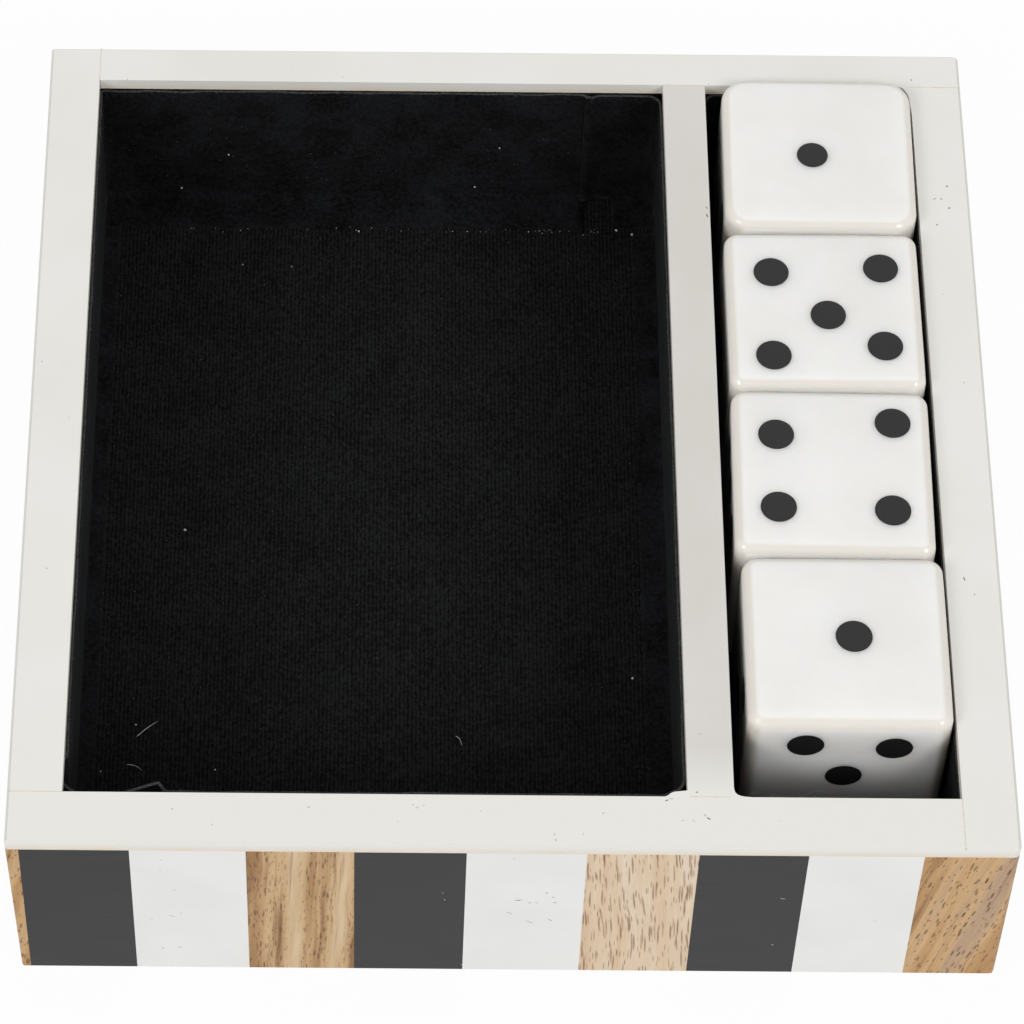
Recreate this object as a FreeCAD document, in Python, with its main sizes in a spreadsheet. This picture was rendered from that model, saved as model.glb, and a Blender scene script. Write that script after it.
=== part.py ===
"""Dice tray: a square open tray with a velvet lined well and a slot that holds four dice.

A glued wooden core carries everything. Small tiles of dark resin, white resin and wood, in
that order, clad its four sides, white rails cap the walls, and a white strip caps the divider
between the well and the slot. Velvet lines both, and a felt sheet covers the underside. Each
die is a cube with eased edges and with black pips set flush into drilled pockets.

Millimetres, +Z up, +X to the side of the slot, -Y to the front. The origin is the middle of
the underside. The tray is laid out from the inside: the slot fits the row of dice, the well
lies beside it, and the rails round them give the outer size.
"""
import FreeCAD, Part
import math
import os
import Sketcher
from FreeCAD import Placement, Rotation, Vector

# Driving sizes: alias, value, what it is
SIZES = (
    ("well_width", 94.3, "well from left to right, between the rails"),
    ("die_size", 31.5, "edge of each die"),
    ("slot_play", 2.9, "how much wider the slot is than a die"),
    ("dice_gap", 0.3, "room between one die and the next, and behind the hindmost"),
    ("finger_gap", 11.9, "free end of the slot, in front of the dice"),
    ("dice_proud", 2.55, "how far the dice stand above the rails"),
    ("rail_left", 8.3, "width of the left rail"),
    ("rail_right", 8.4, "width of the right rail"),
    ("rail_front", 8.9, "width of the front rail"),
    ("rail_back", 7.0, "width of the back rail"),
    ("divider_width", 7.0, "width of the strip between well and slot"),
    ("rim_thickness", 2.2, "thickness of the rails and the divider strip"),
    ("arris", 0.4, "bevel that eases the outer top edge"),
    ("corner_right", 1.0, "rounding of the outer corners on the right"),
    ("corner_left", 0.5, "rounding of the outer corners on the left"),
    ("cladding", 2.0, "thickness of the side tiles"),
    ("last_tile_cut", 2.6, "what is cut off the last tile of the front and of the back"),
    ("left_lean", 0.6, "how far the sanded left side draws in at its foot"),
    ("felt_thickness", 0.4, "felt sheet under the tray"),
    ("felt_inset", 0.3, "felt edge in from the tiles"),
    ("base_thickness", 5.7, "base board"),
    ("lining", 0.8, "velvet on the walls and on the floor of the well"),
    ("slot_bed", 3.05, "padded velvet bed under the dice"),
    ("well_front_bend", 4.0, "radius of the velvet in the front corners of the well"),
    ("well_back_bend", 2.0, "radius of the velvet in the back corners of the well"),
    ("slot_bend", 2.0, "radius of the velvet in the corners of the slot"),
    ("first_upright", 4.0, "rounding of the upright edges of the hindmost die"),
    ("upright", 2.2, "rounding of the upright edges of the other dice"),
    ("die_bevel", 1.2, "bevel that stands for the rounding round a die's top and bottom"),
    ("first_pip", 5.1, "pip across, on the hindmost die"),
    ("pip", 5.7, "pip across, on the other dice"),
    ("pip_depth", 1.2, "depth of a pip's pocket"),
    ("pip_margin", 4.7, "from the rim of an outer pip to the side of the die"),
)

# The row of dice from the back to the front. shift is the share of the slot's play that a die
# lies to the right, forward is how many gaps it has slid to the front, turn is its slight twist
# in degrees, and drilled gives the pips of a face whose hand drilling strays from the even places.
DICE = (
    dict(shift=0.68, forward=0.0, turn=-0.5, pip="first_pip", upright="first_upright",
         faces=dict(top=1, bottom=6, front=5, back=2, left=3, right=4),
         drilled=dict(top=((-0.13, -0.09),))),
    dict(shift=0.32, forward=1.4, turn=0.1, pip="pip", upright="upright",
         faces=dict(top=5, bottom=2, front=3, back=4, left=1, right=6),
         drilled=dict(top=((-1.05, -1.18), (1.14, -0.94), (0.06, -0.19), (-1.02, 0.86), (1.15, 0.97)))),
    dict(shift=0.2, forward=1.9, turn=-0.6, pip="pip", upright="upright",
         faces=dict(top=4, bottom=3, front=2, back=5, left=6, right=1),
         drilled=dict(top=((-1.07, -0.9), (1.11, -0.94), (-1.07, 0.8), (1.19, 1.11)),
                      left=((-0.95, -1.1), (0, -1.1), (0.95, -1.1),
                            (-0.91, 1.16), (-0.11, 1.11), (0.95, 1.11)))),
    dict(shift=0.66, forward=2.2, turn=0.0, pip="pip", upright="upright",
         faces=dict(top=1, bottom=6, front=5, back=2, left=3, right=4),
         drilled=dict(top=((0.13, 0.06),), left=((-0.8, -1.1), (0, 0), (0.75, 1.1)),
                      front=((-0.85, -1.15), (0.85, -1.15), (-0.02, 0.16), (-0.81, 1.22), (0.85, 1.14)))),
)

TILES_PER_SIDE = 9     # one more than the joints in SAW_DRIFT

# Sizes that follow from the driving ones
LAYOUT = (
    ("slot_width", "Sizes.die_size + Sizes.slot_play"),
    ("slot_length", f"{len(DICE)} * (Sizes.die_size + Sizes.dice_gap) + Sizes.finger_gap"),
    ("width",
     "Sizes.rail_left + Sizes.well_width + Sizes.divider_width + slot_width + Sizes.rail_right"),
    ("depth", "Sizes.rail_front + slot_length + Sizes.rail_back"),
    ("west", "-width / 2"),
    ("east", "width / 2"),
    ("south", "-depth / 2"),
    ("north", "depth / 2"),
    ("well_west", "west + Sizes.rail_left"),
    ("well_east", "well_west + Sizes.well_width"),
    ("slot_west", "well_east + Sizes.divider_width"),
    ("slot_east", "east - Sizes.rail_right"),
    ("inner_south", "south + Sizes.rail_front"),
    ("inner_north", "north - Sizes.rail_back"),
    ("core_foot", "Sizes.felt_thickness + Sizes.base_thickness"),
    ("height", "core_foot + Sizes.slot_bed + Sizes.die_size - Sizes.dice_proud"),
    ("core_top", "height - Sizes.rim_thickness"),
    ("front_pitch", f"(width - Sizes.cladding + Sizes.last_tile_cut) / {TILES_PER_SIDE}"),
    ("side_pitch", f"(depth - Sizes.cladding) / {TILES_PER_SIDE}"),
)

PIP_SIDES = 16     # a pip is drawn with this many flats, to keep eighty-four of them light

# How far each joint between two tiles strays from even spacing, from the first tile on
SAW_DRIFT = (-0.4, 0.1, -0.6, -0.7, 0.4, 0.25, -0.3, 0.05)

# The sides, each tiled from the end of the side before it round to its own outer corner. x and y
# place a tile by the run so far, turn is the side's turn about +Z in degrees, pitch is the
# spacing of its tiles, length is the side's whole length, and rounding is that of its corner.
SIDES = (
    dict(name="front", x="Layout.west + Sizes.cladding + ({run})", y="Layout.south", turn=0,
         pitch="Layout.front_pitch", length="Layout.width", rounding="corner_right"),
    dict(name="right", x="Layout.east", y="Layout.south + Sizes.cladding + ({run})", turn=90,
         pitch="Layout.side_pitch", length="Layout.depth", rounding="corner_right"),
    dict(name="back", x="Layout.east - Sizes.cladding - ({run})", y="Layout.north", turn=180,
         pitch="Layout.front_pitch", length="Layout.width", rounding="corner_left"),
    dict(name="left", x="Layout.west", y="Layout.north - Sizes.cladding - ({run})", turn=270,
         pitch="Layout.side_pitch", length="Layout.depth", rounding="corner_left"),
)

# Even pip places, as shares of the way from the middle of a face to a corner pip
EVEN_PIPS = {
    1: ((0, 0),),
    2: ((-1, -1), (1, 1)),
    3: ((-1, -1), (0, 0), (1, 1)),
    4: ((-1, -1), (1, -1), (-1, 1), (1, 1)),
    5: ((-1, -1), (1, -1), (0, 0), (-1, 1), (1, 1)),
    6: ((-1, -1), (0, -1), (1, -1), (-1, 1), (0, 1), (1, 1)),
}

# The faces of a die: outward direction and the direction that is to the right on that face
FACES = {
    "top": (Vector(0, 0, 1), Vector(1, 0, 0)),
    "bottom": (Vector(0, 0, -1), Vector(-1, 0, 0)),
    "front": (Vector(0, -1, 0), Vector(1, 0, 0)),
    "back": (Vector(0, 1, 0), Vector(-1, 0, 0)),
    "left": (Vector(-1, 0, 0), Vector(0, -1, 0)),
    "right": (Vector(1, 0, 0), Vector(0, 1, 0)),
}

NEAR = 1e-4        # two places closer than this are the same place
parts = []         # every finished sub-part, in order

doc = FreeCAD.newDocument("dice_tray")


def make_sheet():
    """Put the driving sizes into a spreadsheet, one alias each."""
    sheet = doc.addObject("Spreadsheet::Sheet", "Sizes")
    for row, (alias, value, meaning) in enumerate(SIZES, start=1):
        sheet.set(f"A{row}", alias)
        sheet.set(f"B{row}", str(value))
        sheet.set(f"C{row}", meaning)
        sheet.setAlias(f"B{row}", alias)
    doc.recompute()
    return sheet


def make_layout():
    """Work out the sizes that follow from the driving ones."""
    layout = doc.addObject("App::VarSet", "Layout")
    for name, formula in LAYOUT:
        layout.addProperty("App::PropertyFloat", name, "Layout")
        layout.setExpression(name, formula)
    doc.recompute()
    return layout


def size(alias):
    """A driving size as a number."""
    return float(sizes.get(alias))


def plane(body, role):
    """One of a body's own origin planes."""
    return next(item for item in body.Origin.OriginFeatures if item.Role == role)


def rectangle(body, name, x_range, y_range, role="XY_Plane", lean=None):
    """A rectangle on an origin plane, its four sides bound to formulas. With a lean, the left
    side slants: its top stands out beyond its foot by that much."""
    sketch = body.newObject("Sketcher::SketchObject", name)
    sketch.AttachmentSupport = [(plane(body, role), "")]
    sketch.MapMode = "FlatFace"
    corners = [Vector(-1, -1, 0), Vector(1, -1, 0), Vector(1, 1, 0), Vector(-1, 1, 0)]
    for place, corner in enumerate(corners):
        sketch.addGeometry(Part.LineSegment(corner, corners[(place + 1) % 4]))
    for place, rule in enumerate(("Horizontal", "Vertical", "Horizontal", "Vertical")):
        sketch.addConstraint(Sketcher.Constraint("Coincident", place, 2, (place + 1) % 4, 1))
        if place == 3 and lean:
            bind(sketch, Sketcher.Constraint("DistanceX", 3, 1, 3, 2, 0.1), lean)
        else:
            sketch.addConstraint(Sketcher.Constraint(rule, place))
    for way, corner, formula in (("DistanceX", 0, x_range[0]), ("DistanceX", 2, x_range[1]),
                                 ("DistanceY", 0, y_range[0]), ("DistanceY", 2, y_range[1])):
        start = -1.0 if corner == 0 else 1.0
        bind(sketch, Sketcher.Constraint(way, -1, 1, corner, 1, start), formula)
    return sketch


def bind(sketch, constraint, formula):
    """Add a constraint whose value follows a formula."""
    index = sketch.addConstraint(constraint)
    sketch.setExpression(f"Constraints[{index}]", formula)


def pad(body, sketch, length, name="Pad"):
    """Raise a sketch by a formula and make it the body's tip."""
    feature = body.newObject("PartDesign::Pad", name)
    feature.Profile = sketch
    feature.setExpression("Length", length)
    body.Tip = feature
    doc.recompute()
    return feature


def dress_edges(body, base, test, length, name, kind="Fillet"):
    """Round, or bevel with the kind Chamfer, the edges of a feature that pass a test."""
    names = [f"Edge{number}" for number, edge in enumerate(base.Shape.Edges, start=1)
             if test(edge.BoundBox.Center, edge.BoundBox)]
    feature = body.newObject(f"PartDesign::{kind}", name)
    feature.Base = (base, names)
    feature.setExpression({"Fillet": "Radius", "Chamfer": "Size"}[kind], length)
    body.Tip = feature
    doc.recompute()
    return feature


def plate(label, x_range, y_range, foot, thickness):
    """A flat board from a bound rectangle, lying with its underside at the height foot."""
    body = doc.addObject("PartDesign::Body", label)
    body.Label = label
    raised = pad(body, rectangle(body, "Outline", x_range, y_range), thickness)
    body.setExpression("Placement.Base.z", foot)
    doc.recompute()
    parts.append(body)
    return body, raised


def upright_at(x, y):
    """Test for the upright edge that stands at a place."""
    return lambda middle, box: box.ZLength > NEAR and math.hypot(middle.x - x, middle.y - y) < NEAR


def rail(label, x_range, y_range, corner, rounding):
    """A rim rail: a strip that owns one outer corner of the tray, rounded there and bevelled
    along the outline."""
    body, base = plate(label, x_range, y_range, "Layout.core_top", "Sizes.rim_thickness")
    base = dress_edges(body, base, upright_at(*corner), f"Sizes.{rounding}", "Corner")
    top, reach = size("rim_thickness"), size(rounding)

    def on_outline(middle, box):
        """Whether an edge lies along the top of the tray's outline."""
        along_x = box.YLength < 2 * reach and abs(middle.y) > layout.north - reach
        along_y = box.XLength < 2 * reach and abs(middle.x) > layout.east - reach
        return abs(box.ZMin - top) < NEAR and (along_x or along_y)

    dress_edges(body, base, on_outline, "Sizes.arris", "Arris", "Chamfer")


def make_rim():
    """Four rails that meet in a pinwheel, each end butted on the side of the next, and the
    divider strip between the front and the back rail."""
    west, east = "Layout.west", "Layout.east"
    south, north = "Layout.south", "Layout.north"
    rail("rail_front", (west, "Layout.slot_east"), (south, "Layout.inner_south"),
         (layout.west, layout.south), "corner_left")
    rail("rail_right", ("Layout.slot_east", east), (south, "Layout.inner_north"),
         (layout.east, layout.south), "corner_right")
    rail("rail_back", ("Layout.well_west", east), ("Layout.inner_north", north),
         (layout.east, layout.north), "corner_right")
    rail("rail_left", (west, "Layout.well_west"), ("Layout.inner_south", north),
         (layout.west, layout.north), "corner_left")
    plate("divider_strip", ("Layout.well_east", "Layout.slot_west"),
          ("Layout.inner_south", "Layout.inner_north"), "Layout.core_top", "Sizes.rim_thickness")


def make_core():
    """The wooden core: a base board, four walls and the divider, all set back behind the rim
    by the thickness of the lining."""
    west, east = "Layout.west + Sizes.cladding", "Layout.east - Sizes.cladding"
    south, north = "Layout.south + Sizes.cladding", "Layout.north - Sizes.cladding"
    wall_south, wall_north = "Layout.inner_south - Sizes.lining", "Layout.inner_north + Sizes.lining"
    foot, height = "Layout.core_foot", "Layout.core_top - Layout.core_foot"
    plate("base_board", (west, east), (south, north), "Sizes.felt_thickness", "Sizes.base_thickness")
    plate("wall_front", (west, east), (south, wall_south), foot, height)
    plate("wall_back", (west, east), (wall_north, north), foot, height)
    plate("wall_left", (west, "Layout.well_west - Sizes.lining"), (wall_south, wall_north), foot, height)
    plate("wall_right", ("Layout.slot_east + Sizes.lining", east), (wall_south, wall_north), foot, height)
    plate("divider_core", ("Layout.well_east + Sizes.lining", "Layout.slot_west - Sizes.lining"),
          (wall_south, wall_north), foot, height)


def make_felt():
    """The felt sheet that the tray stands on."""
    inset = "Sizes.felt_inset"
    plate("base_felt", (f"Layout.west + Sizes.left_lean + {inset}", f"Layout.east - {inset}"),
          (f"Layout.south + {inset}", f"Layout.north - {inset}"), "0", "Sizes.felt_thickness")


def wall_lining(label, x_range, foot, front_bend, back_bend):
    """A band of velvet round the walls of a compartment. It bends round the corners, so that
    a small hollow stays behind it there."""
    (west, east), (south, north) = x_range, ("Layout.inner_south", "Layout.inner_north")
    grown_x = (f"{west} - Sizes.lining", f"{east} + Sizes.lining")
    grown_y = (f"{south} - Sizes.lining", f"{north} + Sizes.lining")
    body, band = plate(label, grown_x, grown_y, foot, f"Layout.core_top - ({foot})")
    opening = body.newObject("PartDesign::Pocket", "Opening")
    opening.Profile = rectangle(body, "Inside", (west, east), (south, north))
    opening.Type = "ThroughAll"
    opening.Reversed = True
    body.Tip = opening
    doc.recompute()
    box = opening.Shape.BoundBox

    def bend(base, behind, front, radius, name):
        inner = size("lining")
        edge_y = (box.YMin if front else box.YMax)
        edge_y += (0 if behind else inner) * (1 if front else -1)
        edge_x = box.XMax - (0 if behind else inner)
        return dress_edges(body, base,
                           lambda middle, edge: edge.ZLength > NEAR and abs(middle.y - edge_y) < NEAR
                           and abs(abs(middle.x - box.Center.x) - (edge_x - box.Center.x)) < NEAR,
                           radius, name)

    base = bend(opening, False, True, front_bend, "FrontInside")
    base = bend(base, False, False, back_bend, "BackInside")
    base = bend(base, True, True, f"{front_bend} + Sizes.lining", "FrontOutside")
    bend(base, True, False, f"{back_bend} + Sizes.lining", "BackOutside")


def make_linings():
    """Velvet floors, and the bands of velvet that stand on them along the walls."""
    y_range = ("Layout.inner_south - Sizes.lining", "Layout.inner_north + Sizes.lining")
    plate("well_floor_velvet", ("Layout.well_west - Sizes.lining", "Layout.well_east + Sizes.lining"),
          y_range, "Layout.core_foot", "Sizes.lining")
    plate("slot_floor_velvet", ("Layout.slot_west - Sizes.lining", "Layout.slot_east + Sizes.lining"),
          y_range, "Layout.core_foot", "Sizes.slot_bed")
    wall_lining("well_wall_velvet", ("Layout.well_west", "Layout.well_east"),
                "Layout.core_foot + Sizes.lining", "Sizes.well_front_bend", "Sizes.well_back_bend")
    wall_lining("slot_wall_velvet", ("Layout.slot_west", "Layout.slot_east"),
                "Layout.core_foot + Sizes.slot_bed", "Sizes.slot_bend", "Sizes.slot_bend")


def tile(label, side, start, end, last):
    """One side tile, sawn from a strip of cladding: the strip's profile, raised to the width
    of the tile. The last tile of a side carries the rounded outer corner. The left side was
    sanded out of square, so that its foot stands in."""
    body = doc.addObject("PartDesign::Body", label)
    body.Label = label
    foot, lean = ("Sizes.left_lean", "Sizes.left_lean") if side["name"] == "left" else ("0", None)
    profile = rectangle(body, "Profile", (foot, "Sizes.cladding"),
                        ("Sizes.felt_thickness", "Layout.core_top"), "YZ_Plane", lean)
    base = pad(body, profile, f"{end} - ({start})")
    if last:
        far = base.Shape.BoundBox.XMax
        dress_edges(body, base, lambda middle, box: box.ZLength > NEAR and abs(middle.x - far) < NEAR
                    and middle.y < size("cladding") / 2, f"Sizes.{side['rounding']}", "Corner")
    body.Placement = Placement(Vector(), Rotation(Vector(0, 0, 1), side["turn"]))
    body.setExpression("Placement.Base.x", side["x"].format(run=start))
    body.setExpression("Placement.Base.y", side["y"].format(run=start))
    parts.append(body)


def make_tiles():
    """Tiles along every side, evenly spaced but for the saw's drift. The last one of a side
    is cut to what is left of the run."""
    for side in SIDES:
        joints = ["0"]
        joints += [f"{place} * {side['pitch']} + {drift}" for place, drift in enumerate(SAW_DRIFT, 1)]
        joints.append(f"{side['length']} - Sizes.cladding")
        for place in range(TILES_PER_SIDE):
            tile(f"tile_{side['name']}_{place + 1}", side, joints[place], joints[place + 1],
                 place == TILES_PER_SIDE - 1)


def pip_frame(face, die_half):
    """The place on a die of a face's middle, turned so that local +Z points out of it."""
    out, right = FACES[face]
    turn = Rotation(right, out.cross(right), out, "ZXY")
    return Placement(out * die_half, turn)


def make_pips(label, die, where):
    """Black pips of one die, each filling its pocket flush with the face."""
    reach = size("die_size") / 2 - size("pip_margin") - size(die["pip"]) / 2
    pips = []
    for face, count in die["faces"].items():
        seat = pip_frame(face, size("die_size") / 2)
        for right, up in die["drilled"].get(face, EVEN_PIPS[count]):
            pip = doc.addObject("Part::Prism", "Pip")
            pip.Polygon = PIP_SIDES
            pip.setExpression("Circumradius", f"Sizes.{die['pip']} / 2")
            pip.setExpression("Height", "Sizes.pip_depth")
            sunk = Placement(Vector(right * reach, up * reach, -size("pip_depth")), Rotation())
            pip.Placement = where.multiply(seat).multiply(sunk)
            pips.append(pip)
    group = doc.addObject("Part::Compound", label)
    group.Label = label
    group.Links = pips
    return group


def make_blank(label, die, where):
    """A cube with rounded edges, its middle at the given place."""
    body = doc.addObject("PartDesign::Body", label)
    half = "Sizes.die_size / 2"
    base = pad(body, rectangle(body, "Outline", (f"-{half}", half), (f"-{half}", half)), "Sizes.die_size")
    base = dress_edges(body, base, lambda middle, box: box.ZLength > NEAR, f"Sizes.{die['upright']}",
                       "Uprights")
    dress_edges(body, base, lambda middle, box: box.ZLength < NEAR, "Sizes.die_bevel", "Bevel", "Chamfer")
    body.Placement = where.multiply(Placement(Vector(0, 0, -size("die_size") / 2), Rotation()))
    return body


def make_dice():
    """The row of four dice, from the back of the slot to the front."""
    bed = layout.core_foot + size("slot_bed")
    middle_x = (layout.slot_west + layout.slot_east) / 2
    pitch = size("die_size") + size("dice_gap")
    for place, die in enumerate(DICE):
        x = middle_x + die["shift"] * size("slot_play") / 2
        y = (layout.inner_north - size("dice_gap") * (1 + die["forward"]) - size("die_size") / 2
             - place * pitch)
        where = Placement(Vector(x, y, bed + size("die_size") / 2), Rotation(Vector(0, 0, 1), die["turn"]))
        label = f"die_{place + 1}"
        pips = make_pips(f"{label}_pips", die, where)
        drilled = doc.addObject("Part::Cut", label)
        drilled.Label = label
        drilled.Base = make_blank(f"{label}_blank", die, where)
        drilled.Tool = pips
        doc.recompute()
        parts.extend((drilled, pips))


def check(thing):
    """Stop if an object of the document failed."""
    bad = [state for state in thing.State if state in ("Invalid", "Error")]
    if bad:
        raise RuntimeError(f"{thing.Label} is {bad}")


def write_parts():
    """Write each sub-part to its own file."""
    os.makedirs("parts", exist_ok=True)
    doc.recompute()
    for thing in doc.Objects:
        check(thing)
    for part in parts:
        shape = part.Shape
        if shape.isNull() or not shape.isValid() or not shape.Solids:
            raise RuntimeError(f"{part.Label} has no valid solid")
        shape.exportStep(os.path.join("parts", f"{part.Label}.step"))
        box = shape.BoundBox
        print(f"{part.Label:20s} {len(shape.Solids):2d} solid(s) {shape.Volume:10.1f} mm3  "
              f"x {box.XMin:7.2f} {box.XMax:7.2f}  y {box.YMin:7.2f} {box.YMax:7.2f}  "
              f"z {box.ZMin:6.2f} {box.ZMax:6.2f}")
    print(len(parts), "sub-parts, tray", round(layout.width, 2), "x", round(layout.depth, 2),
          "x", round(layout.height, 2), "mm")


sizes = make_sheet()
layout = make_layout()
make_felt()
make_core()
make_tiles()
make_rim()
make_linings()
make_dice()
write_parts()
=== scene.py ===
"""Looks of the dice tray: cast resin rails and tiles, light hardwood tiles, ribbed black velvet
and four hand made dice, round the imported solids. Metres, in the frame of the solids."""
import math
import random

import bmesh
import bpy
from mathutils import Matrix, Quaternion, Vector, noise


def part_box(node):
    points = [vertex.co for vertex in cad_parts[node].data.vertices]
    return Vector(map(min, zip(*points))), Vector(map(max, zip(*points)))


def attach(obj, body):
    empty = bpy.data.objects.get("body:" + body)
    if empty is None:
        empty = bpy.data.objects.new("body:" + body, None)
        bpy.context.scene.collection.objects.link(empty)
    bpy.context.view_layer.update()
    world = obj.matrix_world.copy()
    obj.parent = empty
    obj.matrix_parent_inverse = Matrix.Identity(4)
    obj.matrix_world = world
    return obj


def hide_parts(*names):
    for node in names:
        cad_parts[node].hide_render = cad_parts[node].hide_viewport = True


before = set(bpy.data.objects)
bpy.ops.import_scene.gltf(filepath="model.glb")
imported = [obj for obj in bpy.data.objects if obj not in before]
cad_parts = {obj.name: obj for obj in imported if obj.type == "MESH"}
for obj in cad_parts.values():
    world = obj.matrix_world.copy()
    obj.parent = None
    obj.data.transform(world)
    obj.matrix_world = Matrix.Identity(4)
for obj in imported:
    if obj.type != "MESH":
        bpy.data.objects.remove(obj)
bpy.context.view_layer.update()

MM = 0.001
UP = Vector((0, 0, 1))

# Places that the solids give, in metres
WELL_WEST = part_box("rail_left")[1].x
WELL_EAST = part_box("divider_strip")[0].x
SLOT_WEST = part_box("divider_strip")[1].x
SLOT_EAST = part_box("rail_right")[0].x
INNER_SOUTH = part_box("rail_front")[1].y
RIM_FOOT, RIM_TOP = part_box("rail_front")[0].z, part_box("rail_front")[1].z
WELL_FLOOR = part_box("well_floor_velvet")[1].z
SLOT_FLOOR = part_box("slot_floor_velvet")[1].z
TILE_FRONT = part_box("tile_front_5")[0].y
LINING_TOP = RIM_FOOT - 0.3 * MM
SIDES = ("front", "right", "back", "left")
TILES_PER_SIDE = 9

# The photograph's camera, from the directions of the tray's edges
CAMERA_PLACE = Vector((-20.53, -437.64, 646.42)) * MM
CAMERA_YAW, CAMERA_PITCH, CAMERA_ROLL = (math.radians(angle) for angle in (0.45, -55.33, 0.87))
CAMERA_LENS = 165.75
CAMERA_SENSOR = 36
CAMERA_SHIFT = 0.1094

# The row of dice from back to front, with each one's twist in degrees and the rounding of its
# upright edges and of its other edges in millimetres
DICE = {
    "die_1": dict(turn=-0.5, upright=4.0, edge=1.6),
    "die_2": dict(turn=0.1, upright=2.1, edge=1.8),
    "die_3": dict(turn=-0.6, upright=2.1, edge=1.8),
    "die_4": dict(turn=0.0, upright=2.4, edge=1.9),
}


# Materials

def colour(code):
    """An sRGB hex value as linear colour."""
    shares = [int(code[place:place + 2], 16) / 255 for place in (1, 3, 5)]
    return [share / 12.92 if share <= 0.04045 else ((share + 0.055) / 1.055) ** 2.4
            for share in shares] + [1.0]


def add(tree, kind, links=(), stops=(), **settings):
    """Add a node with its settings, and set or link its inputs. A node given for an input
    gives its first output that is on; stops are the places and hex colours of a colour ramp."""
    node = tree.nodes.new("ShaderNode" + kind)
    for name, value in settings.items():
        setattr(node, name, value)
    for number, (at, code) in enumerate(stops):
        points = node.color_ramp.elements
        point = points[number] if number < 2 else points.new(at)
        point.position, point.color = at, colour(code)
    for name, value in dict(links).items():
        if isinstance(value, bpy.types.Node):
            value = next(socket for socket in value.outputs if socket.enabled)
        if isinstance(value, bpy.types.NodeSocket):
            tree.links.new(value, node.inputs[name])
        else:
            node.inputs[name].default_value = value
    return node


def blank(name):
    """A new material and its empty node tree."""
    made = bpy.data.materials.new(name)
    made.use_nodes = True
    made.node_tree.nodes.clear()
    return made, made.node_tree


def place_mm(tree):
    """The place on the tray in millimetres."""
    coordinates = add(tree, "TexCoord").outputs["Object"]
    return add(tree, "Mapping", {"Vector": coordinates, "Scale": [1 / MM] * 3})


def along_side(tree, shift=(0, 0, 0), turn=0.0):
    """The place on any side of the tray in millimetres: the way along it, then up."""
    parts = add(tree, "SeparateXYZ", {"Vector": place_mm(tree)})
    along = add(tree, "Math", {0: parts.outputs["X"], 1: parts.outputs["Y"]}, operation="ADD")
    flat = add(tree, "CombineXYZ", {"X": along, "Y": parts.outputs["Z"]})
    return add(tree, "Mapping", {"Vector": flat, "Location": shift, "Rotation": (0, 0, turn)})


def flecks(tree, place, cell, share, soft=0.5):
    """Scattered flecks, 1 in them and 0 outside: cell is their spacing across and up in
    millimetres, share is half a fleck's width as a share of it, and soft is where its edge
    starts."""
    across, up = cell
    spread = add(tree, "Mapping", {"Vector": place, "Scale": (1 / across, 1 / up, 1 / across)})
    spots = add(tree, "TexVoronoi", {"Vector": spread, "Scale": 1.0})
    return add(tree, "MapRange", {"Value": spots, "From Min": share * soft, "From Max": share,
                                  "To Min": 1.0, "To Max": 0.0})


def white_resin(name, milky, clear):
    """Cast polyester resin, sanded flat and buffed: an even milky white with a low sheen,
    faintly clouded over some 20 mm, with a few dark specks of dust, a painted shade on the
    arris that holds down the highlight the lamps give it, and cream over its lowest 1.5 mm,
    where glue shows. Over 9 mm from the front rail it pales to the filler sanded over the
    joint."""
    made, tree = blank(name)
    body = place_mm(tree)
    cloud = add(tree, "TexNoise", {"Vector": body, "Scale": 1 / 22, "Detail": 3.0})
    milk = add(tree, "ValToRGB", {"Fac": cloud}, stops=((0.35, milky), (0.65, clear)))
    axes = add(tree, "SeparateXYZ", {"Vector": body}).outputs
    joint = add(tree, "MapRange", {"Value": axes["Y"], "From Min": INNER_SOUTH / MM,
                                   "From Max": INNER_SOUTH / MM + 9, "To Min": 1.0,
                                   "To Max": 0.0})
    filled = add(tree, "Mix", {0: joint, 6: milk, 7: colour("#E6E4DF")}, data_type="RGBA")
    ragged = add(tree, "TexNoise", {"Vector": body, "Scale": 1 / 5, "Detail": 2.0})
    over = add(tree, "Math", {0: axes["Z"], 1: RIM_FOOT / MM}, operation="SUBTRACT")
    foot = add(tree, "MapRange", {"Value": over, "From Min": 0.1, "From Max": 1.5,
                                  "To Min": 0.9, "To Max": 0.0})
    glue = add(tree, "Math", {0: foot, 1: ragged}, operation="MULTIPLY")
    tinged = add(tree, "Mix", {0: glue, 6: filled, 7: colour("#D9C6A4")}, data_type="RGBA")
    slope = add(tree, "SeparateXYZ", {"Vector": add(tree, "NewGeometry").outputs["Normal"]})
    # An arris faces half up: its normal's share upwards is about 0.7
    # Painted shade: the arris faces the lamps and would be lit more than the top, so it is tinted
    # greyer to hold down its highlight
    arris_painted_shade = add(tree, "Math", {0: slope.outputs["Z"], 1: 0.7, 2: 0.15}, operation="COMPARE")
    painted_arris_tone = add(tree, "Mix", {0: arris_painted_shade, 6: tinged, 7: colour("#D7D5CF")}, data_type="RGBA")
    dust = add(tree, "Math", {0: flecks(tree, body, (5.5, 5.5), 0.035), 1: 0.5},
               operation="MULTIPLY")
    tint = add(tree, "Mix", {0: dust, 6: painted_arris_tone, 7: colour("#8C8780")}, data_type="RGBA")
    grain = add(tree, "TexNoise", {"Vector": body, "Scale": 1 / 1.6})
    relief = add(tree, "Bump", {"Height": grain, "Distance": 0.004 * MM})
    shader = add(tree, "BsdfPrincipled", {"Base Color": tint, "Roughness": 0.42, "IOR": 1.54,
                                          "Normal": relief})
    add(tree, "OutputMaterial", {"Surface": shader})
    return made


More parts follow.
